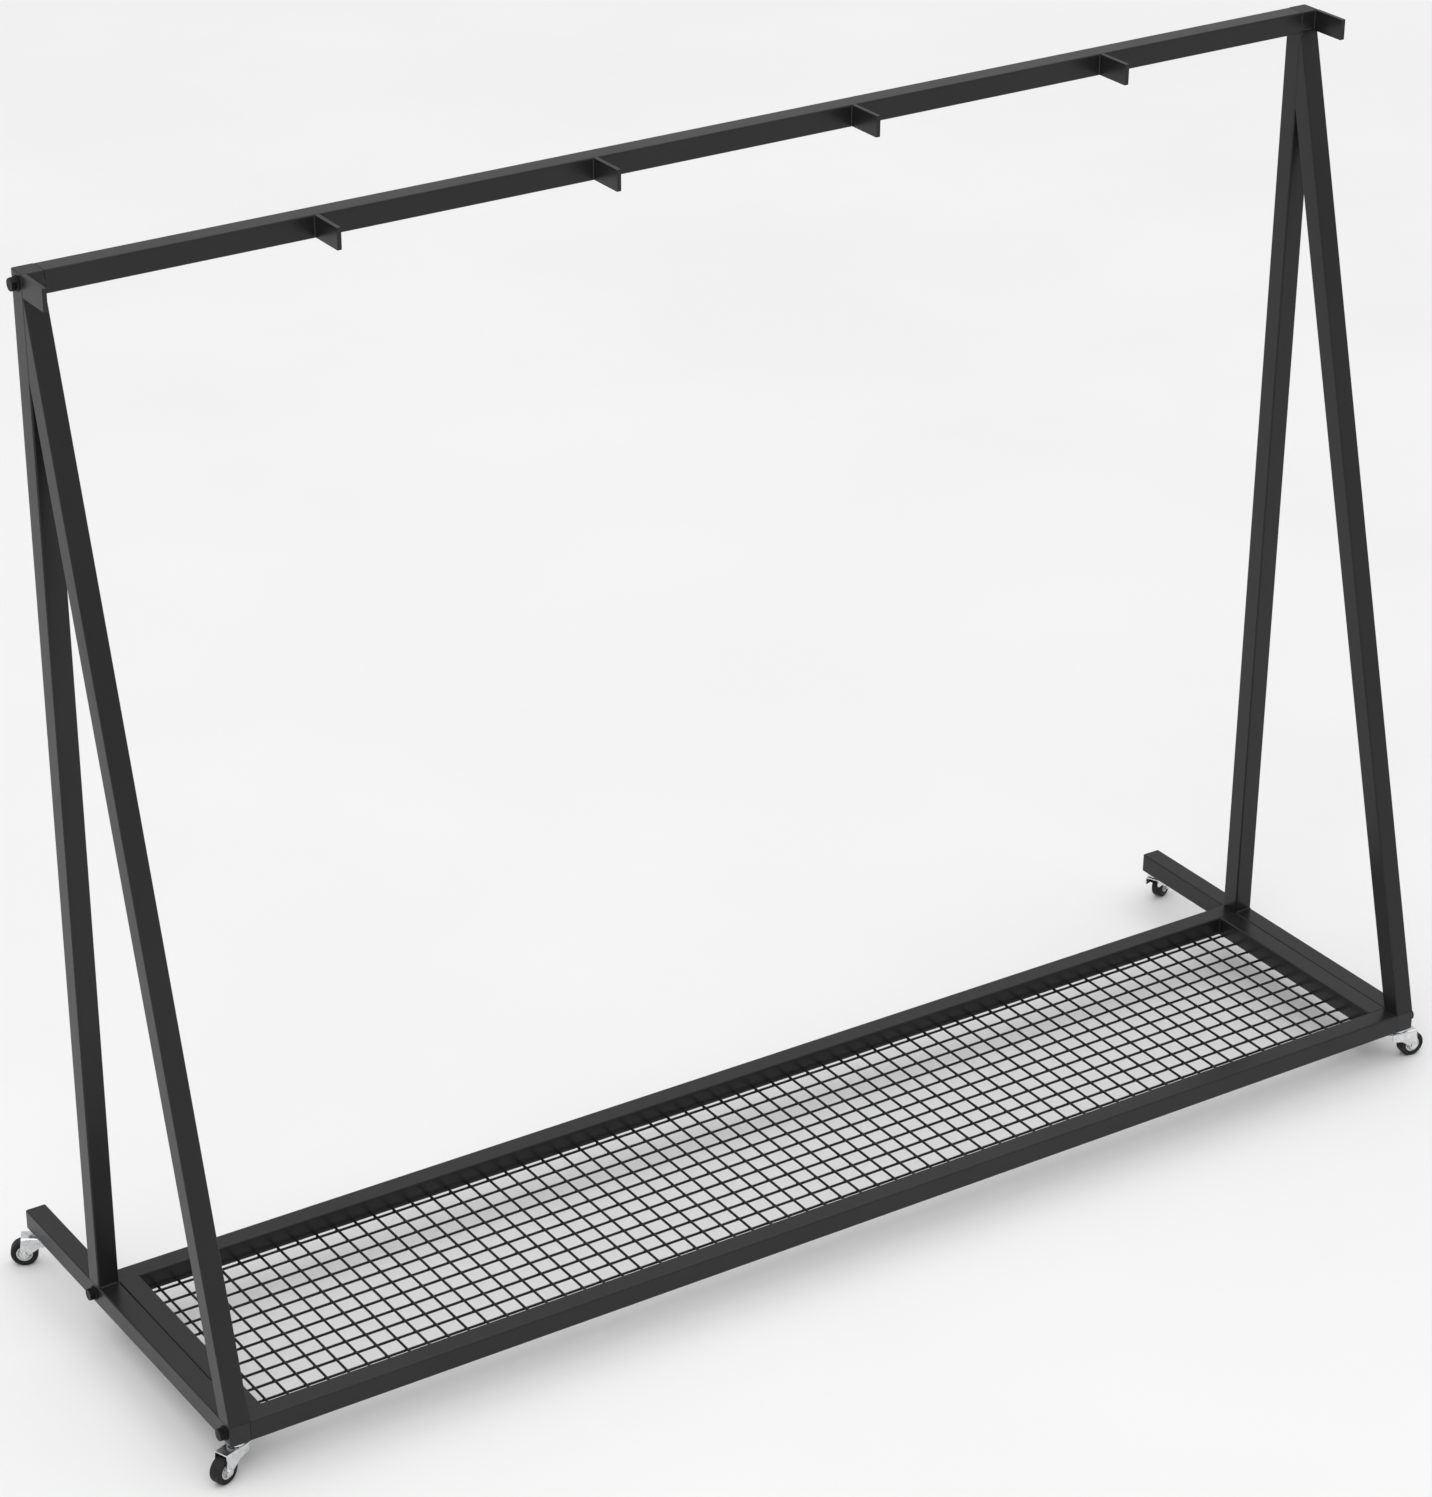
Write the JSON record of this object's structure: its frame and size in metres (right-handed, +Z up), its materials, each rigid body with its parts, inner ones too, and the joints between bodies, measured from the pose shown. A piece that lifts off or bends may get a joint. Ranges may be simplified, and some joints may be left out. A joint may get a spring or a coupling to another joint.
{
  "type": "rolling display rack",
  "caption": "Black square-tube display rack on swivel casters: raking end frames, top beam with flat-bar tabs and a low wire-mesh shelf.",
  "frame": {"origin": "on the floor, in the middle of the rack's overall length and depth", "axes": "+X along the beam to the rack's right as seen from the front, +Y from the front (raking legs) to the rear, +Z up"},
  "size_m": [1.689, 0.522, 1.252],
  "materials": {
    "powder_coat": "satin black powder coat",
    "mesh_wire": "satin black powder coat on welded wire",
    "black_bolt": "black oxide steel",
    "cap_plastic": "moulded black plastic",
    "zinc_steel": "bright zinc plate",
    "bearing_steel": "polished bearing steel",
    "tyre_rubber": "smooth black rubber",
    "hub_plastic": "moulded light grey nylon"
  },
  "bodies": {
    "rack": {"left_foot_tube": "powder_coat", "right_foot_tube": "powder_coat", "left_front_leg": "powder_coat", "right_front_leg": "powder_coat", "left_rear_leg": "powder_coat", "right_rear_leg": "powder_coat", "top_beam": "powder_coat", "panel_tab_1": "powder_coat", "panel_tab_2": "powder_coat", "panel_tab_3": "powder_coat", "panel_tab_4": "powder_coat", "panel_tab_5": "powder_coat", "panel_tab_6": "powder_coat", "shelf_front_rail": "powder_coat", "shelf_rear_rail": "powder_coat", "shelf_left_rail": "powder_coat", "shelf_right_rail": "powder_coat", "shelf_long_wires": "mesh_wire", "shelf_cross_wires": "mesh_wire", "beam_bolts": "black_bolt", "beam_nut_blocks": "zinc_steel", "shelf_bolts": "black_bolt", "shelf_nut_blocks": "zinc_steel", "foot_end_caps": "cap_plastic", "leg_top_caps": "cap_plastic", "caster_weld_nuts": "zinc_steel", "left_front_caster_stem": "zinc_steel", "left_front_caster_balls": "bearing_steel", "left_rear_caster_stem": "zinc_steel", "left_rear_caster_balls": "bearing_steel", "right_front_caster_stem": "zinc_steel", "right_front_caster_balls": "bearing_steel", "right_rear_caster_stem": "zinc_steel", "right_rear_caster_balls": "bearing_steel"},
    "left_front_swivel": {"left_front_caster_fork": "zinc_steel", "left_front_caster_axle": "zinc_steel"},
    "left_front_wheel": {"left_front_wheel_hub": "hub_plastic", "left_front_wheel_tyre": "tyre_rubber"},
    "left_rear_swivel": {"left_rear_caster_fork": "zinc_steel", "left_rear_caster_axle": "zinc_steel"},
    "left_rear_wheel": {"left_rear_wheel_hub": "hub_plastic", "left_rear_wheel_tyre": "tyre_rubber"},
    "right_front_swivel": {"right_front_caster_fork": "zinc_steel", "right_front_caster_axle": "zinc_steel"},
    "right_front_wheel": {"right_front_wheel_hub": "hub_plastic", "right_front_wheel_tyre": "tyre_rubber"},
    "right_rear_swivel": {"right_rear_caster_fork": "zinc_steel", "right_rear_caster_axle": "zinc_steel"},
    "right_rear_wheel": {"right_rear_wheel_hub": "hub_plastic", "right_rear_wheel_tyre": "tyre_rubber"}
  },
  "joints": [
    {"name": "left_front_swivel_turn", "type": "hinge", "parent": "rack", "child": "left_front_swivel", "pos_m": [-0.8075, -0.24182, 0.043], "axis": [0, 0, 1], "continuous": true},
    {"name": "left_front_wheel_spin", "type": "hinge", "parent": "left_front_swivel", "child": "left_front_wheel", "pos_m": [-0.82729, -0.24941, 0.016], "axis": [0.3584, -0.9336, 0], "continuous": true},
    {"name": "left_rear_swivel_turn", "type": "hinge", "parent": "rack", "child": "left_rear_swivel", "pos_m": [-0.8075, 0.23818, 0.043], "axis": [0, 0, 1], "continuous": true},
    {"name": "left_rear_wheel_spin", "type": "hinge", "parent": "left_rear_swivel", "child": "left_rear_wheel", "pos_m": [-0.82639, 0.24781, 0.016], "axis": [-0.454, -0.891, 0], "continuous": true},
    {"name": "right_front_swivel_turn", "type": "hinge", "parent": "rack", "child": "right_front_swivel", "pos_m": [0.8075, -0.24182, 0.043], "axis": [0, 0, 1], "continuous": true},
    {"name": "right_front_wheel_spin", "type": "hinge", "parent": "right_front_swivel", "child": "right_front_wheel", "pos_m": [0.82849, -0.24477, 0.016], "axis": [0.1392, 0.9903, 0], "continuous": true},
    {"name": "right_rear_swivel_turn", "type": "hinge", "parent": "rack", "child": "right_rear_swivel", "pos_m": [0.8075, 0.23818, 0.043], "axis": [0, 0, 1], "continuous": true},
    {"name": "right_rear_wheel_spin", "type": "hinge", "parent": "right_rear_swivel", "child": "right_rear_wheel", "pos_m": [0.82622, 0.24814, 0.016], "axis": [-0.4695, 0.8829, 0], "continuous": true}
  ]
}
